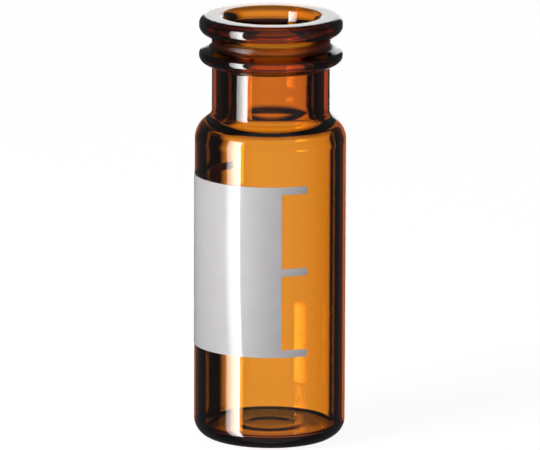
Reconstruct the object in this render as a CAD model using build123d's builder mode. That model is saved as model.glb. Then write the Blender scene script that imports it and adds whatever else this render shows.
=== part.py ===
"""Glass sample vial: a small amber bottle with a snap-ring mouth and a printed writing field.

The vial is formed from glass tube in one piece, so it is one revolved solid. A white enamel
is printed and fired on its outer wall: a writing field with a filling mark at three levels.
Millimetres, +Z up, origin on the axis at the foot, and the print's front edge towards -Y.
"""

import os
from math import degrees

from build123d import *

# Body of the vial
body_diameter = 11.5
wall = 0.85
floor_thickness = 1.05
floor_chamfer = 0.4
base_edge_radius = 1.55

# Foot: a flat ring to stand on, round a shallow push-up
foot_width = 0.3
push_up = 0.2

# Shoulder between the body and the neck
shoulder_height = 1.0
shoulder_radius = 1.8

# Inside of the shoulder: the bore ends in a flare, then come a nearly level ledge and a bevel
flare_rise = 0.19
flare_run = 0.44
flare_drop = 0.99
ledge_drop = 0.43
bevel_run = 0.21
bevel_drop = 0.75

# Neck and bore
neck_diameter = 8.95
neck_length = 3.67
bore_diameter = 6.5

# Snap ring, the lower of the two, which holds a snapped-on cap
ring_diameter = 10.9
snap_ring_height = 0.74
snap_ring_slope = 0.39
snap_ring_chamfer = 0.2
snap_ring_bottom_radius = 0.6

# Groove between the rings
groove_height = 0.64

# Lip ring, with the flat sealing face on top
lip_ring_height = 1.17
lip_ring_slope = 0.5
lip_top_radius = 0.35
lip_bottom_radius = 0.65
mouth_radius = 0.5

# Overall height
height = 32.5

# Enamel print: a field with filling marks at both of its ends
ink = 0.04
field_width = 13.5
field_height = 13.1
field_bottom = 7.3
field_edge_azimuth = 8.7
mark_count = 3
mark_length = 2.0
mark_height = 0.57
mark_corner_radius = 0.15

# Radii of the glass
body_radius = body_diameter / 2
inner_radius = body_radius - wall
neck_radius = neck_diameter / 2
bore_radius = bore_diameter / 2
ring_radius = ring_diameter / 2
push_up_radius = body_radius - base_edge_radius - foot_width

# Levels of the glass, from the sealing face down
lip_bottom = height - lip_ring_height
groove_top = lip_bottom - lip_ring_slope
groove_bottom = groove_top - groove_height
snap_top = groove_bottom - snap_ring_slope
snap_bottom = snap_top - snap_ring_height
neck_top = snap_bottom - snap_ring_slope
shoulder_top = neck_top - neck_length
shoulder_bottom = shoulder_top - shoulder_height

# Corners of the shoulder's inside, down from the bore and in from the body
flare_top = shoulder_top + flare_rise
flare_bottom = flare_top - flare_drop
ledge_bottom = flare_bottom - ledge_drop
bevel_bottom = ledge_bottom - bevel_drop
ledge_inner_radius = bore_radius + flare_run
ledge_outer_radius = inner_radius - bevel_run

# Corners of the section and the radius that rounds each one: from the middle of the push-up
# out to the foot, up the outside, over the lip, and down the inside to the floor
section_corners = [
    ((0, push_up), 0),
    ((push_up_radius, 0), 0),
    ((body_radius, 0), base_edge_radius),
    ((body_radius, shoulder_bottom), shoulder_radius),
    ((neck_radius, shoulder_top), 0),
    ((neck_radius, neck_top), 0),
    ((ring_radius, snap_bottom), snap_ring_bottom_radius),
    ((ring_radius, snap_top - snap_ring_chamfer), 0),
    ((ring_radius - snap_ring_chamfer, snap_top), 0),
    ((neck_radius, groove_bottom), 0),
    ((neck_radius, groove_top), 0),
    ((ring_radius, lip_bottom), lip_bottom_radius),
    ((ring_radius, height), lip_top_radius),
    ((bore_radius, height), mouth_radius),
    ((bore_radius, flare_top), 0),
    ((ledge_inner_radius, flare_bottom), 0),
    ((ledge_outer_radius, ledge_bottom), 0),
    ((inner_radius, bevel_bottom), 0),
    ((inner_radius, floor_thickness + floor_chamfer), 0),
    ((inner_radius - floor_chamfer, floor_thickness), 0),
    ((0, floor_thickness), 0),
]

# Glass: the section, turned about the axis
with BuildPart() as vial:
    with BuildSketch(Plane.XZ):
        with BuildLine():
            FilletPolyline(
                [corner for corner, radius in section_corners],
                radius=[radius for corner, radius in section_corners],
                close=True,
            )
        make_face()
    revolve(axis=Axis.Z)
vial.part.label = "vial"

# The print's lengths round the wall become angles, counted from +X towards +Y
field_angle = degrees(field_width / body_radius)
mark_angle = degrees(mark_length / body_radius)
field_start = field_edge_azimuth - 90 - field_angle
mark_start = field_start - mark_angle
mark_sweep = field_angle + 2 * mark_angle
mark_pitch = (field_height - mark_height) / (mark_count - 1)
field_middle = Vector(1, 0, 0).rotate(Axis.Z, field_start + field_angle / 2)

# Bands of enamel as start, sweep, bottom and height: the field, and one band for each level
# whose two ends are the marks
bands = [(field_start, field_angle, field_bottom, field_height)]
for level in range(mark_count):
    bands.append((mark_start, mark_sweep, field_bottom + level * mark_pitch, mark_height))


def angle_from_middle(edge):
    """Angle round the wall between the middle of the field and an edge."""
    centre = edge.center()
    return Vector(centre.X, centre.Y, 0).get_angle(field_middle)


# Writing field: the bands join, and the corners where marks leave the field are rounded
with BuildPart() as writing_field:
    for start, sweep, bottom, band_height in bands:
        with BuildSketch(Plane.XZ.rotated((0, 0, start))):
            with Locations((body_radius + ink / 2, bottom + band_height / 2)):
                Rectangle(ink, band_height)
        revolve(axis=Axis.Z, revolution_arc=sweep)
    radial_edges = writing_field.edges().filter_by(lambda edge: edge.length < 2 * ink)
    fillet(radial_edges.group_by(angle_from_middle)[0], mark_corner_radius)
writing_field.part.label = "writing_field"

os.makedirs("parts", exist_ok=True)
export_step(vial.part, "parts/vial.step")
export_step(writing_field.part, "parts/writing_field.step")
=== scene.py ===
# %% [markdown]
# Amber glass sample vial
#
# A sample vial is a thumb-sized bottle drawn from amber glass tube. It has a rounded base, a
# shoulder, a short neck and two rings, which hold a snapped-on cap. A white enamel field with
# three filling marks is printed on the wall and fired. This lesson builds the glass and the
# enamel over the measured frame, then lights them so that the glass reads as glass.

# %% Load the measured frame
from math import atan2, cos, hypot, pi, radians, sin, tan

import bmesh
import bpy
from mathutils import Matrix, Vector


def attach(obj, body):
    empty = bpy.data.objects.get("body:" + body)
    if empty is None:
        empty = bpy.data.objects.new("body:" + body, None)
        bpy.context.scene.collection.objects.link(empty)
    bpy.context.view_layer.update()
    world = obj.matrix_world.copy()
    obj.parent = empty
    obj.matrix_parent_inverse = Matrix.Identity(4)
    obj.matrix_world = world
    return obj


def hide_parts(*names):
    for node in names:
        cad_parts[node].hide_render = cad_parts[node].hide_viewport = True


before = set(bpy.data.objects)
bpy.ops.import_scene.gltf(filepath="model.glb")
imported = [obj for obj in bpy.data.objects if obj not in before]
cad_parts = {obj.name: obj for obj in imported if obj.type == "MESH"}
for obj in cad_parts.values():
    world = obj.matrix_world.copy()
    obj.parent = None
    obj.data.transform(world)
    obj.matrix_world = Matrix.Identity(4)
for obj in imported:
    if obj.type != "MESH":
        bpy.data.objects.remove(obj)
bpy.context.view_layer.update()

# %% [markdown]
# Tools for the whole lesson
#
# Blender works in metres and this object is drawn in millimetres, so one value turns one into
# the other. Every step below starts from an empty selection, because an operator acts on all
# that is selected, and the loaded frame is selected too.

MM = 0.001
TOUCH = 0.004
SAME_PLACE = 0.00002


def start_piece(add_primitive, name, **settings):
    """Add a primitive with nothing else selected, name it and open it in edit mode."""
    bpy.ops.object.select_all(action="DESELECT")
    add_primitive(**settings)
    piece = bpy.context.object
    piece.name = name
    piece.data.name = name
    bpy.ops.object.mode_set(mode="EDIT")
    return piece


def settle_place():
    """Move the object's place, turn and size into its mesh."""
    bpy.ops.object.transform_apply(location=True, rotation=True, scale=True)


def select(piece, kind, test):
    """In edit mode, select the verts, edges or faces whose place passes the test."""
    bpy.ops.mesh.select_mode(type=kind)
    bpy.ops.mesh.select_all(action="DESELECT")
    mesh = bmesh.from_edit_mesh(piece.data)
    elements = {"VERT": mesh.verts, "EDGE": mesh.edges, "FACE": mesh.faces}[kind]
    chosen = [element for element in elements if test(element)]
    for element in chosen:
        element.select_set(True)
    mesh.select_flush_mode()
    bmesh.update_edit_mesh(piece.data)
    return len(chosen)


def finish_piece(piece, sharp_angle):
    """Merge doubles, turn the faces outwards, shade smooth and leave edit mode."""
    bpy.ops.mesh.select_all(action="SELECT")
    bpy.ops.mesh.remove_doubles(threshold=SAME_PLACE * MM)
    bpy.ops.mesh.normals_make_consistent(inside=False)
    bpy.ops.object.mode_set(mode="OBJECT")
    bpy.ops.object.shade_smooth_by_angle(angle=sharp_angle)
    print(piece.name, "has", len(piece.data.polygons), "faces")


# %% [markdown]
# The glass: its outside
#
# The real vial is made by turning hot tube against rollers, so it is the same all the way
# round, and a few radii and levels hold its whole outside. They are the frame's own sizes.

# %% Glass: sizes of the outside, in millimetres
height = 32.5
lip_height = 1.17
lip_slope = 0.5
groove_height = 0.64
snap_height = 0.74
snap_slope = 0.39
neck_length = 3.67
shoulder_height = 1.0
base_edge_radius = 1.55
foot_width = 0.3
push_up = 0.2

body_radius = 5.75
neck_radius = 4.475
ring_radius = 5.45
push_up_radius = body_radius - base_edge_radius - foot_width
print("the vial is", 2 * body_radius, "mm wide and", height, "mm tall")

# %% Glass: levels of the outside, from the lip down
lip_bottom = height - lip_height
groove_top = lip_bottom - lip_slope
groove_bottom = groove_top - groove_height
snap_top = groove_bottom - snap_slope
snap_bottom = snap_top - snap_height
neck_top = snap_bottom - snap_slope
shoulder_top = neck_top - neck_length
shoulder_bottom = shoulder_top - shoulder_height
print("the shoulder lies from", round(shoulder_bottom, 2), "to", round(shoulder_top, 2), "mm")

# %% [markdown]
# The glass: its inside
#
# The bore ends in a flare, then come a nearly level ledge and a bevel down to the wall. Glass
# gathers there when the neck is squeezed out of the tube. Light bends through this hidden form,
# and it draws the dark line at the shoulder and the dark eye in the neck. The floor is a
# shallow dish with a ringed mark where the tube was sealed.

# %% Glass: sizes of the wall, the mouth and the shoulder's inside, in millimetres
wall = 0.85
bore_radius = 3.25
mouth_radius = 3.62
mouth_depth = 1.15
flare_rise = 0.19
flare_run = 0.44
flare_drop = 0.99
ledge_drop = 0.43
bevel_run = 0.21
bevel_drop = 0.75

inner_radius = body_radius - wall
flare_radius = bore_radius + flare_run
ledge_radius = inner_radius - bevel_run
flare_top = shoulder_top + flare_rise
flare_bottom = flare_top - flare_drop
ledge_bottom = flare_bottom - ledge_drop
bevel_bottom = ledge_bottom - bevel_drop
print("the wall is", wall, "mm thick, and the bore is", 2 * bore_radius, "mm wide")

# %% Glass: sizes of the floor, in millimetres
floor_level = 0.98
floor_edge_rise = 0.1
dish_radius = 3.4
dish_rise = 0.03
seal_mark_radius = 2.05
seal_mark_rise = 0.14
seal_mark_outer_width = 0.6
seal_mark_inner_width = 0.55
middle_radius = 0.4
middle_dip = 0.01
print("the floor is", floor_level, "mm up, and its mark is", 2 * seal_mark_radius, "mm wide")

# %% [markdown]
# The glass: its section
#
# Outside and inside make one line, listed corner by corner, each with the radius that rounds
# it. Small forms that the frame leaves out are here too, such as the flare of the mouth, the
# soft inner corners, and the shallow dome of the push-up, whose rise falls off with the square
# of the radius.

# %% Glass: corners of the section
# Radius, level and rounding of each corner, from the middle of the foot up the outside and
# down the inside to the middle of the floor
section = [
    (push_up_radius / 3, push_up * 0.89, 0),
    (push_up_radius * 2 / 3, push_up * 0.56, 0),
    (push_up_radius, 0, 0.4),
    (body_radius, 0, base_edge_radius),
    (body_radius, shoulder_bottom, 1.8),
    (neck_radius, shoulder_top, 0.55),
    (neck_radius, neck_top, 0.15),
    (ring_radius, snap_bottom, 0.6),
    (ring_radius, snap_top, 0.3),
    (neck_radius, groove_bottom, 0.4),
    (neck_radius, groove_top, 0.5),
    (ring_radius, lip_bottom, 0.65),
    (ring_radius, height, 0.6),
    (mouth_radius, height, 0.5),
    (bore_radius, height - mouth_depth, 2.0),
    (bore_radius, flare_top, 1.6),
    (flare_radius, flare_bottom, 1.2),
    (ledge_radius, ledge_bottom, 0.65),
    (inner_radius, bevel_bottom, 2.0),
    (inner_radius, floor_level + floor_edge_rise, 0.35),
    (dish_radius, floor_level + dish_rise, 1.5),
    (seal_mark_radius + seal_mark_outer_width, floor_level, 0.8),
    (seal_mark_radius, floor_level + seal_mark_rise, 0.5),
    (seal_mark_radius - seal_mark_inner_width, floor_level, 0.8),
    (middle_radius, floor_level - middle_dip, 0),
]
print("the section has", len(section), "corners")

# %% [markdown]
# The glass: turning the section
#
# A bottle could be a curve with a screw modifier, but drawing it ring by ring shows each step:
# a circle at the foot is extruded and resized to the next corner, again and again, and the
# last ring is merged into one point in the middle of the floor.

# %% Glass: extrude a circle from corner to corner
SIDES = 256
first_radius, first_level, _ = section[0]
glass = start_piece(
    bpy.ops.mesh.primitive_circle_add,
    "vial_glass",
    vertices=SIDES,
    radius=first_radius * MM,
    fill_type="TRIFAN",
    location=(0, 0, first_level * MM),
)
bpy.ops.object.mode_set(mode="OBJECT")
settle_place()
bpy.ops.object.mode_set(mode="EDIT")

select(glass, "EDGE", lambda edge: edge.is_boundary)
for (radius, level, _), (next_radius, next_level, _) in zip(section, section[1:]):
    bpy.ops.mesh.extrude_region_move(
        TRANSFORM_OT_translate={"value": (0, 0, (next_level - level) * MM)}
    )
    grow = next_radius / radius
    bpy.ops.transform.resize(value=(grow, grow, 1), center_override=(0, 0, next_level * MM))
bpy.ops.mesh.extrude_region_move(TRANSFORM_OT_translate={"value": (0, 0, 0)})
bpy.ops.mesh.merge(type="CENTER")
print("extruded", len(section), "rings of", SIDES, "verts")

# %% [markdown]
# The glass: rounding its corners
#
# Hot glass has no sharp corner. Each ring of edges is bevelled, and the bevel's offset follows
# from the radius wanted: an arc of radius r that turns by an angle t begins r tan(t / 2) before
# the corner. Many segments matter more here than on an opaque object, because light bends at
# every face that it goes through.


# %% Glass: find the turn and the edges of a corner
def turn_at(index):
    """Angle by which the section turns at a corner, in radians."""
    (r0, z0, _), (r1, z1, _), (r2, z2, _) = section[index - 1 : index + 2]
    turn = atan2(z2 - z1, r2 - r1) - atan2(z1 - z0, r1 - r0)
    return abs((turn + pi) % (2 * pi) - pi)


def on_ring(edge, radius, level):
    """True for an edge that lies along the ring at this radius and level."""
    return all(
        abs(hypot(vert.co.x, vert.co.y) / MM - radius) < TOUCH
        and abs(vert.co.z / MM - level) < TOUCH
        for vert in edge.verts
    )


# %% Glass: bevel each ring of edges
STEP_ANGLE = radians(6)
for index, (radius, level, rounding) in enumerate(section):
    if rounding:
        turn = turn_at(index)
        select(glass, "EDGE", lambda edge: on_ring(edge, radius, level))
        bpy.ops.mesh.bevel(
            offset=rounding * tan(turn / 2) * MM,
            segments=max(3, round(turn / STEP_ANGLE)),
            profile=0.5,
            affect="EDGES",
            clamp_overlap=False,
        )
finish_piece(glass, sharp_angle=radians(50))

# %% [markdown]
# The glass: keeping its walls straight
#
# Smooth shading lets the narrow faces of a bevel tilt the shading of the long wall beside it,
# and then the wall shows a false bend in every reflection. Weighted Normal gives the large
# faces the say, so that the walls look as straight as they are.

# %% Glass: weigh the normals and hand the piece over
weights = glass.modifiers.new("flat walls stay flat", "WEIGHTED_NORMAL")
weights.weight = 100
weights.keep_sharp = True
bpy.ops.object.modifier_apply(modifier=weights.name)
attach(glass, "root")
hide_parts("vial")
print("the glass is", round(glass.dimensions.z / MM, 2), "mm tall")

# %% [markdown]
# The enamel: printed flat, wrapped round
#
# The print is a stencil: a field with three marks at each end. A stencil is flat before it
# goes round the glass, so it is cut out of a flat plane here too. Every cut runs through the
# whole plane, which keeps its faces in rows and columns, and the gaps are then deleted.

# %% Enamel: a flat plane of the print's size
field_width = 13.5
field_height = 13.1
field_bottom = 7.3
mark_length = 2.0
mark_height = 0.57
mark_count = 3
half_field = field_width / 2
half_print = half_field + mark_length
mark_pitch = (field_height - mark_height) / (mark_count - 1)

enamel = start_piece(
    bpy.ops.mesh.primitive_plane_add, "writing_enamel", size=1, rotation=(pi / 2, 0, 0)
)
bpy.ops.object.mode_set(mode="OBJECT")
enamel.scale = (2 * half_print * MM, field_height * MM, 1)
enamel.location.z = (field_bottom + field_height / 2) * MM
settle_place()
bpy.ops.object.mode_set(mode="EDIT")
print("the print is", 2 * half_print, "mm wide, and its marks lie", mark_pitch, "mm apart")


# %% Enamel: cut the stencil
def cut(x=None, z=None):
    """Cut the whole flat print along one upright line or one level line."""
    bpy.ops.mesh.select_all(action="SELECT")
    place = ((x or 0) * MM, 0, (z or 0) * MM)
    bpy.ops.mesh.bisect(plane_co=place, plane_no=(1, 0, 0) if z is None else (0, 0, 1))


def between_marks(face):
    """True for the part of the flat print beside the field and between two marks."""
    centre = face.calc_center_median() / MM
    above_mark = (centre.z - field_bottom) % mark_pitch
    return abs(centre.x) > half_field and above_mark > mark_height


cut(x=-half_field)
cut(x=half_field)
for mark in range(mark_count):
    mark_bottom = field_bottom + mark * mark_pitch
    for level in (mark_bottom, mark_bottom + mark_height):
        if field_bottom < level < field_bottom + field_height:
            cut(z=level)
gaps = select(enamel, "FACE", between_marks)
bpy.ops.mesh.delete(type="FACE")
print("cut", gaps, "gaps out of the print")

# %% [markdown]
# The enamel: its corners and its strips
#
# Wet ink draws together where a mark leaves the field, so those corners are rounded while the
# print is still one flat outline. Then it is cut into narrow upright strips, because only an
# edge can follow the bend round the glass, and the strips are as narrow as the glass's sides.

# %% Enamel: round the inner corners and divide the print into strips
corner_rounding = 0.15
strip_width = 0.14
bpy.ops.mesh.select_all(action="SELECT")
bpy.ops.mesh.dissolve_limited(angle_limit=radians(1))


def is_inner_corner(vert):
    """True where a mark leaves the field, so that the outline turns inwards."""
    x, z = abs(vert.co.x) / MM, vert.co.z / MM
    inside = field_bottom + TOUCH < z < field_bottom + field_height - TOUCH
    return abs(x - half_field) < TOUCH and inside


corners = select(enamel, "VERT", is_inner_corner)
bpy.ops.mesh.bevel(offset=corner_rounding * MM, segments=4, affect="VERTICES")
strips = round(2 * half_print / strip_width)
for strip in range(1, strips):
    cut(x=-half_print + 2 * half_print * strip / strips)
print("rounded", corners, "corners and cut", strips, "strips")

# %% [markdown]
# The enamel: its thickness and its bend
#
# Fired ink stands a little proud of the glass, with a soft rim that catches the light, so the
# print is extruded and the rim of its outer face is bevelled. It starts a hair inside the
# glass, and both touch everywhere. A Simple Deform modifier then bends it round the wall and
# keeps its length, and a turn about the axis brings its edge to the front.

# %% Enamel: thickness and soft rim
bite = 0.005
rim_rounding = 0.012

# A hair less than the frame's 0.04, whose outermost facets lie inside the true curve
ink = 0.039
bpy.ops.mesh.select_all(action="SELECT")
bpy.ops.transform.translate(value=(0, bite * MM, 0))
bpy.ops.mesh.extrude_region_move(TRANSFORM_OT_translate={"value": (0, -(ink + bite) * MM, 0)})
bpy.ops.mesh.select_all(action="SELECT")
bpy.ops.mesh.normals_make_consistent(inside=False)


def on_outer_rim(edge):
    """True for an edge between the print's outer face and its narrow side."""
    outer = all(abs(vert.co.y / MM + ink) < TOUCH for vert in edge.verts)
    return outer and edge.calc_face_angle(0) > radians(60)


select(enamel, "EDGE", on_outer_rim)
bpy.ops.mesh.bevel(offset=rim_rounding * MM, segments=2, affect="EDGES", clamp_overlap=True)
finish_piece(enamel, sharp_angle=radians(40))

# %% Enamel: bend it round the glass and hand it over
field_edge_azimuth = 8.7
wrap = enamel.modifiers.new("wrap", "SIMPLE_DEFORM")
wrap.deform_method = "BEND"
wrap.deform_axis = "Z"
wrap.angle = 2 * half_print / body_radius
bpy.ops.object.modifier_apply(modifier=wrap.name)
enamel.location.y = -body_radius * MM
settle_place()
enamel.rotation_euler.z = radians(field_edge_azimuth) - half_field / body_radius
settle_place()
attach(enamel, "root")
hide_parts("writing_field")
furthest = max(hypot(vert.co.x, vert.co.y) for vert in enamel.data.vertices)
print("the print stands", round(furthest / MM - body_radius, 3), "mm proud")

# %% [markdown]
# Tools for the finishes
#
# A finish is a tree of nodes. Python's own operators can stand for the Math nodes, so that a
# line of arithmetic reads as one, and one method adds every other kind of node. A ramp is the
# form used most: it carries a value smoothly from one number to another between two limits.

# %% Tools: signals and node trees
class Signal:
    """A node's output, on which Python's operators add Math nodes."""

    def __init__(self, finish, socket):
        self.finish = finish
        self.socket = socket

    def twin(self, output):
        """Another output of the same node."""
        return Signal(self.finish, self.socket.node.outputs[output])

    def math(self, operation, *values):
        """Add a Math node that works on the values given."""
        return self.finish.add("ShaderNodeMath", {"operation": operation}, dict(enumerate(values)))

    def __add__(self, other):
        return self.math("ADD", self, other)

    def __rsub__(self, other):
        return self.math("SUBTRACT", other, self)

    def __mul__(self, other):
        return self.math("MULTIPLY", self, other)

    def __abs__(self):
        return self.math("ABSOLUTE", self)

    __radd__ = __add__
    __rmul__ = __mul__


class Finish:
    """The node tree of a material or of the world."""

    def __init__(self, owner):
        owner.use_nodes = True
        self.tree = owner.node_tree
        self.tree.nodes.clear()

    def add(self, kind, settings=None, values=None, output=0):
        """Add a node, set it up, feed its sockets and return one of its outputs."""
        node = self.tree.nodes.new(kind)
        for name, value in (settings or {}).items():
            setattr(node, name, value)
        for name, value in (values or {}).items():
            if isinstance(value, Signal):
                self.tree.links.new(value.socket, node.inputs[name])
            else:
                node.inputs[name].default_value = value
        return Signal(self, node.outputs[output]) if node.outputs else None

    def ramp(self, value, low, high, start=0, end=1):
        """Carry a value smoothly from one number to another between two limits."""
        limits = {"From Min": low, "From Max": high, "To Min": start, "To Max": end}
        smooth = {"interpolation_type": "SMOOTHSTEP"}
        return self.add("ShaderNodeMapRange", smooth, {"Value": value, **limits})

    def between(self, value, low, high, soft):
        """Give 1 between two limits and 0 outside them, with soft edges."""
        rise = self.ramp(value, low - soft / 2, low + soft / 2)
        fall = self.ramp(value, high - soft / 2, high + soft / 2)
        return rise * (1 - fall)

    def part_along(self, place, direction):
        """How far a place lies along a direction."""
        dot = {"operation": "DOT_PRODUCT"}
        return self.add("ShaderNodeVectorMath", dot, {0: place, 1: direction}, output="Value")

    def length(self, place):
        """How far a place lies from the origin."""
        return self.add("ShaderNodeVectorMath", {"operation": "LENGTH"}, {0: place}, output="Value")


def use_finish(piece, material):
    """Give a piece one material only."""
    piece.data.materials.clear()
    piece.data.materials.append(material)
    print(piece.name, "gets", material.name, "with", len(material.node_tree.nodes), "nodes")


# %% [markdown]
# Amber glass: its surface
#
# Drawn tube has faint long waves along its length, which show where a reflection runs along
# it, so a noise is stretched upwards and tilts the normal a little. Its scales count waves in
# a metre: many round the wall, few along it.

# %% Amber glass: waves along the wall
amber_glass = bpy.data.materials.new("amber_glass_finish")
amber = Finish(amber_glass)
place = amber.add("ShaderNodeTexCoord", output="Object")
drawn_out = amber.add("ShaderNodeMapping", values={"Vector": place, "Scale": (1400, 1400, 90)})
streaks = amber.add("ShaderNodeTexNoise", values={"Vector": drawn_out, "Scale": 1, "Detail": 2})
swell = amber.add("ShaderNodeTexNoise", values={"Vector": place, "Scale": 260, "Detail": 1})
waves = amber.add(
    "ShaderNodeBump",
    values={"Height": streaks * 0.3 + swell, "Strength": 0.03, "Distance": 0.03 * MM},
)

# %% [markdown]
# Amber glass: the dull groove
#
# The wheel that rolls the groove leaves a dull band between the two rings. There the surface
# scatters light, and a mask made of a point's level and its distance from the axis says where.

# %% Amber glass: a mask for the groove
FADE = 0.25
GROOVE_ROUGHNESS = 0.42
point_level = amber.part_along(place, (0, 0, 1 / MM))
beside_axis = amber.add(
    "ShaderNodeVectorMath", {"operation": "MULTIPLY"}, {0: place, 1: (1 / MM, 1 / MM, 0)}
)
above_ring = amber.ramp(point_level, groove_bottom - FADE, groove_bottom)
below_lip = amber.ramp(point_level, groove_top, groove_top + FADE, start=1, end=0)
outside = amber.ramp(amber.length(beside_axis), bore_radius + 0.3, bore_radius + 0.9)
dullness = GROOVE_ROUGHNESS * above_ring * below_lip * outside

# %% [markdown]
# Amber glass: its colour
#
# Amber glass is clear glass with iron and sulphur melted in, so its colour is in its depth and
# not on its surface: the thin wall is orange and the thick base is nearly black. A tinted
# surface can't do that. Here the surface is clear, and Volume Absorption takes the blue and
# some of the green out of the light along its whole way through the glass.

# %% Amber glass: clear surface over an absorbing depth
GLASS_IOR = 1.52
surface = amber.add(
    "ShaderNodeBsdfPrincipled",
    values={
        "Base Color": (1, 1, 1, 1),
        "Roughness": dullness,
        "IOR": GLASS_IOR,
        "Transmission Weight": 1,
        "Normal": waves,
    },
)
depth = amber.add(
    "ShaderNodeVolumeAbsorption", values={"Color": (0.883, 0.68, 0.12, 1), "Density": 3000}
)
amber.add("ShaderNodeOutputMaterial", values={"Surface": surface, "Volume": depth})
use_finish(glass, amber_glass)

# %% [markdown]
# White enamel
#
# The print is a ceramic ink that is fired until it melts to the wall. Its body is a matt
# off-white, a little darker where the ink went on thin, and over it lies a thin glossy skin
# that shows the softbox as a sharp strip. One matt surface with a coat gives both. A fine
# noise gives the skin the slight grain that a pencil needs to write on it.

# %% White enamel: thin and thick ink
white_enamel = bpy.data.materials.new("white_enamel_finish")
white = Finish(white_enamel)
place = white.add("ShaderNodeTexCoord", output="Object")
clouds = white.add("ShaderNodeTexNoise", values={"Vector": place, "Scale": 700, "Detail": 4})
thin_ink = (0.79, 0.77, 0.79, 1)
thick_ink = (0.81, 0.79, 0.81, 1)

# Sockets 6 and 7 of the Mix node are its two colours, and output 2 is the mixed one
ink_colour = white.add(
    "ShaderNodeMix",
    {"data_type": "RGBA"},
    {"Factor": white.ramp(clouds, 0.35, 0.65), 6: thin_ink, 7: thick_ink},
    output=2,
)

# %% White enamel: grain under a glossy skin
grain = white.add("ShaderNodeTexNoise", values={"Vector": place, "Scale": 9000, "Detail": 3})
bumps = white.add(
    "ShaderNodeBump", values={"Height": grain, "Strength": 0.1, "Distance": 0.01 * MM}
)
surface = white.add(
    "ShaderNodeBsdfPrincipled",
    values={
        "Base Color": ink_colour,
        "Roughness": 0.55,
        "Coat Weight": 0.7,
        "Coat Roughness": 0.03,
        "Normal": bumps,
    },
)
white.add("ShaderNodeOutputMaterial", values={"Surface": surface})
use_finish(enamel, white_enamel)

# %% [markdown]
# The studio: what the glass sees
#
# Glass shows its surroundings more than itself. A photographer stands it before a lit panel
# with a dark card on each side, which draw its edges dark, and puts a softbox at one side,
# which draws the long white strips. Panels of real geometry would light the floor and the
# enamel too, so they are drawn in the world, by azimuth and elevation in degrees. Azimuth 0
# is straight behind the vial and grows to the right.

# %% Studio: the direction of each ray
DEGREES = 180 / pi
studio_world = bpy.data.worlds.new("studio")
bpy.context.scene.world = studio_world
studio = Finish(studio_world)
towards = studio.add("ShaderNodeTexCoord", output="Generated")
across = studio.add("ShaderNodeSeparateXYZ", values={0: towards}, output="X")
along = across.twin("Y")
upward = across.twin("Z")
azimuth = across.math("ARCTAN2", across, along) * DEGREES
elevation = upward.math("ARCSINE", upward) * DEGREES
to_side = abs(azimuth)

# %% [markdown]
# The studio: the panel and the softbox
#
# The panel reaches further to the right than to the left, so the dark band at the vial's left
# is the wider one. The softbox stands at the left and in front of the vial, and its edge
# nearer the camera is the brightest, as in a box lit from one end.

# %% Studio: the lit panel behind and the softbox at the left
SOFTBOX_FRONT = -133.5
SOFTBOX_BACK = -110
PANEL_LEFT = -7.5
PANEL_RIGHT = 18
panel_across = studio.between(azimuth, PANEL_LEFT, PANEL_RIGHT, soft=5)
softbox_across = studio.between(azimuth, SOFTBOX_FRONT, SOFTBOX_BACK, soft=3)
softbox_fades = studio.ramp(azimuth, SOFTBOX_BACK + 1, SOFTBOX_FRONT + 2.5, start=0.3)
softbox_glow = softbox_across * softbox_fades

# %% [markdown]
# The studio: light that comes through the glass
#
# The panel is dimmer low down and high up, as a panel lit by one lamp is. The dark cards and
# the softbox end just under the height where the camera's rays through the upright walls go.
# Below them, and behind the camera, the room is pale, so the vial is amber from every side.

# %% Studio: the panel as the glass lets it through
panel_low = studio.ramp(elevation, -26, -12, start=0.3)
panel_high = studio.ramp(elevation, -5, 5, start=1, end=0.55)
panel_upright = studio.between(elevation, -46, 27, soft=4)
panel = panel_across * panel_upright * panel_low * panel_high

# %% Studio: the pale room round the cards
CARDS_END = -14.3
just_below = studio.between(elevation, -22, CARDS_END, soft=0.6)
far_below = studio.between(elevation, -46, -22, soft=2)
at_card_height = studio.between(elevation, CARDS_END, 10, soft=0.6)
room_low = just_below * studio.ramp(to_side, 22, 40, end=0.8)
room_far = at_card_height * studio.ramp(to_side, 140, 150, end=0.7)
room_behind = far_below * studio.ramp(to_side, 100, 115, end=0.6)
room_below = studio.ramp(elevation, -44, -50, end=0.6)
room = room_low + room_far + room_behind + room_below

# %% Studio: all that comes through the glass
CARD_LEVEL = 0.003
PANEL_LEVEL = 1.53
SOFTBOX_LEVEL = 28
softbox_seen = softbox_glow * studio.between(elevation, CARDS_END, 27, soft=0.6)
through_glass = CARD_LEVEL + PANEL_LEVEL * panel + room + SOFTBOX_LEVEL * softbox_seen

# %% [markdown]
# The studio: light that the surfaces reflect
#
# A reflection on the front of the glass sees what stands beside and behind the camera: the
# softbox, and a dim room that is darker at the sides. Near the edges it sees the panel.

# %% Studio: for reflections
SOFTBOX_MIRRORED = 20
room_glow = studio.ramp(to_side, 95, 130, start=0.1, end=0.33)
panel_reflected = studio.between(elevation, -30, 24, soft=8)
panel_glow = panel_reflected * studio.ramp(elevation, -6, 4, start=1.25, end=1.8)
softbox_upright = studio.between(elevation, -42, 27, soft=8)
softbox_mirrored = SOFTBOX_MIRRORED * softbox_glow * softbox_upright
reflected = room_glow + panel_across * panel_glow + softbox_mirrored

# %% [markdown]
# The studio: one world for every kind of ray
#
# Light Path tells the rays apart. The camera sees plain white, a diffuse surface gets an even
# fill, and glossy and transmitted rays see the patterns above. A ray that has gone through
# glass counts as both of the last two, so the pattern for it is mixed in last.

# %% Studio: choose by kind of ray
FILL = 0.16
camera_ray = studio.add("ShaderNodeLightPath", output="Is Camera Ray")
glossy_ray = camera_ray.twin("Is Glossy Ray")
through_ray = camera_ray.twin("Is Transmission Ray")


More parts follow.
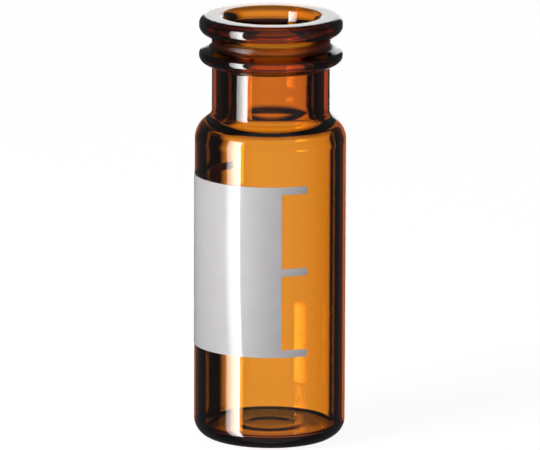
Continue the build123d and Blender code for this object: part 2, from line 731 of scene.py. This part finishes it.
def choose(ray, otherwise, seen):
    """Take one value for a kind of ray and another for the rest."""
    values = {"Factor": ray, 2: otherwise, 3: seen}
    return studio.add("ShaderNodeMix", {"data_type": "FLOAT"}, values)


plain = choose(camera_ray, FILL, 1)
brightness = choose(through_ray, choose(glossy_ray, plain, reflected), through_glass)
sky = studio.add("ShaderNodeBackground", values={"Color": brightness, "Strength": 1})
studio.add("ShaderNodeOutputWorld", values={"Surface": sky})
print("the world has", len(studio_world.node_tree.nodes), "nodes")

# %% [markdown]
# The floor
#
# The photograph's floor is so evenly lit that it is white, with the faintest shadow. The same
# white comes from mixing some emission, for camera rays alone, with a matt paper that keeps
# the shadow. The glass doesn't see this plane, because the world already has its light.


# %% Floor: paper
def stand_in_studio(stage_piece, name, finish_name):
    """Name a stage piece, keep it out of reflections and return its material."""
    stage_piece.name = name
    stage_piece.visible_glossy = False
    material = bpy.data.materials.new(finish_name)
    stage_piece.data.materials.append(material)
    return material


FLOOR_GAP = 0.02
PAPER_LEVEL = 1.165
bpy.ops.object.select_all(action="DESELECT")
bpy.ops.mesh.primitive_plane_add(size=3, location=(0, 0, -FLOOR_GAP * MM))
floor = bpy.context.object
floor.visible_transmission = False
paper = Finish(stand_in_studio(floor, "floor", "floor_paper"))
camera_ray = paper.add("ShaderNodeLightPath", output="Is Camera Ray")
matt = paper.add("ShaderNodeBsdfDiffuse", values={"Color": (0.9, 0.9, 0.9, 1)})
lit = paper.add("ShaderNodeEmission", values={"Color": (1, 1, 1, 1), "Strength": PAPER_LEVEL})
mixed = paper.add("ShaderNodeMixShader", values={"Fac": camera_ray * 0.8, 1: matt, 2: lit})
paper.add("ShaderNodeOutputMaterial", values={"Surface": mixed})
print("the floor is", round(floor.dimensions.x, 2), "m wide")

# %% [markdown]
# The table under the foot
#
# Through the floor of the vial one sees the table that it stands on: lit in the middle, where
# light comes down through the mouth, brighter towards the camera, and dark under the edge of
# the base. That light and shade are painted onto a disc just above the paper, which glows with
# them and which only rays through the glass can see. A faint brighter ring of painted light
# lies under the seal mark, which gathers light as a lens does.

# %% Table under the foot: a disc of painted light and shade that only the glass sees
TABLE_GAP = 0.01
bpy.ops.object.select_all(action="DESELECT")
bpy.ops.mesh.primitive_circle_add(
    vertices=64, radius=9 * MM, fill_type="NGON", location=(0, 0, -TABLE_GAP * MM)
)
table = bpy.context.object
table.visible_camera = False
table.visible_diffuse = False
table.visible_shadow = False
painted_table_light = Finish(stand_in_studio(table, "table_with_painted_light", "table_painted_light_and_shade"))

# %% Table under the foot: its painted light and shade
SEAL_RING = 2.1 * MM
place = painted_table_light.add("ShaderNodeTexCoord", output="Object")
from_axis = painted_table_light.length(place)
nearer = painted_table_light.part_along(place, (0.4, -1, 0))
# Painted light and shade: a lit middle, a shadow under the base's edge and a bright seal ring
painted_lit_middle = painted_table_light.ramp(from_axis, 3.9 * MM, 4.8 * MM, start=1, end=0.03)
to_camera = painted_table_light.ramp(nearer, -3.5 * MM, 4 * MM, start=0.1, end=0.9)
painted_ring_rises = painted_table_light.ramp(from_axis, 0.9 * MM, SEAL_RING, end=0.4)
painted_ring_falls = painted_table_light.ramp(from_axis, SEAL_RING, 2.9 * MM, start=1, end=0)
brightness = painted_lit_middle * (to_camera + painted_ring_rises * painted_ring_falls)
# The disc's colour is painted light and shade, not the table's own colour
painted_light_and_shade = painted_table_light.add(
    "ShaderNodeVectorMath", {"operation": "SCALE"}, {0: (1, 0.8, 0.65), "Scale": brightness}
)
glow = painted_table_light.add("ShaderNodeEmission", values={"Color": painted_light_and_shade, "Strength": 1})
painted_table_light.add("ShaderNodeOutputMaterial", values={"Surface": glow})
print("the table's finish has", len(painted_table_light.tree.nodes), "nodes")

# %% [markdown]
# The key lamp
#
# The enamel is brighter at its left than at its right, so a large soft lamp stands at the
# left. It lights matt surfaces only: its own reflection would repeat the softbox's.

# %% Key lamp
LAMP_AZIMUTH = radians(-50)
LAMP_DISTANCE = 0.5
LAMP_HEIGHT = 0.3
key_data = bpy.data.lights.new("key", "AREA")
key_data.shape = "RECTANGLE"
key_data.size = 0.25
key_data.size_y = 0.5
key_data.energy = 1.9
key = bpy.data.objects.new("key", key_data)
bpy.context.collection.objects.link(key)
key.location = (
    LAMP_DISTANCE * sin(LAMP_AZIMUTH),
    -LAMP_DISTANCE * cos(LAMP_AZIMUTH),
    LAMP_HEIGHT,
)
middle = Vector((0, 0, height / 2 * MM))
key.rotation_euler = (middle - key.location).to_track_quat("-Z", "Y").to_euler()
key.visible_glossy = False
key.visible_transmission = False
print("the lamp stands", round(key.location.length, 2), "m from the vial")

# %% [markdown]
# The camera
#
# The ellipses of the rings are about a fifth as tall as they are wide, so the camera looks
# down by 12 degrees, and they differ little from the top to the base, so it stands far off.
# The focal length follows from the scale, in pixels for each millimetre at the vial's axis.
# The vial leans a quarter of a degree in the picture, and a roll of the camera repeats that.

# %% Camera
IMAGE_WIDTH = 540
PIXELS_PER_MM = 13.22
SENSOR_WIDTH = 36
DISTANCE = 930
ELEVATION = radians(11.9)
AIM_LEVEL = 16.33
AIM_ACROSS = -0.03
ROLL = radians(0.24)

camera_data = bpy.data.cameras.new("camera")
camera_data.sensor_width = SENSOR_WIDTH
camera_data.lens = PIXELS_PER_MM * SENSOR_WIDTH * DISTANCE / IMAGE_WIDTH
camera = bpy.data.objects.new("camera", camera_data)
bpy.context.collection.objects.link(camera)
camera.location = MM * Vector(
    (AIM_ACROSS, -DISTANCE * cos(ELEVATION), AIM_LEVEL + DISTANCE * sin(ELEVATION))
)
camera.rotation_mode = "ZYX"
camera.rotation_euler = (pi / 2 - ELEVATION, 0, ROLL)
bpy.context.scene.camera = camera
bpy.context.scene.view_settings.view_transform = "Standard"
print("the lens is", round(camera_data.lens), "mm long")
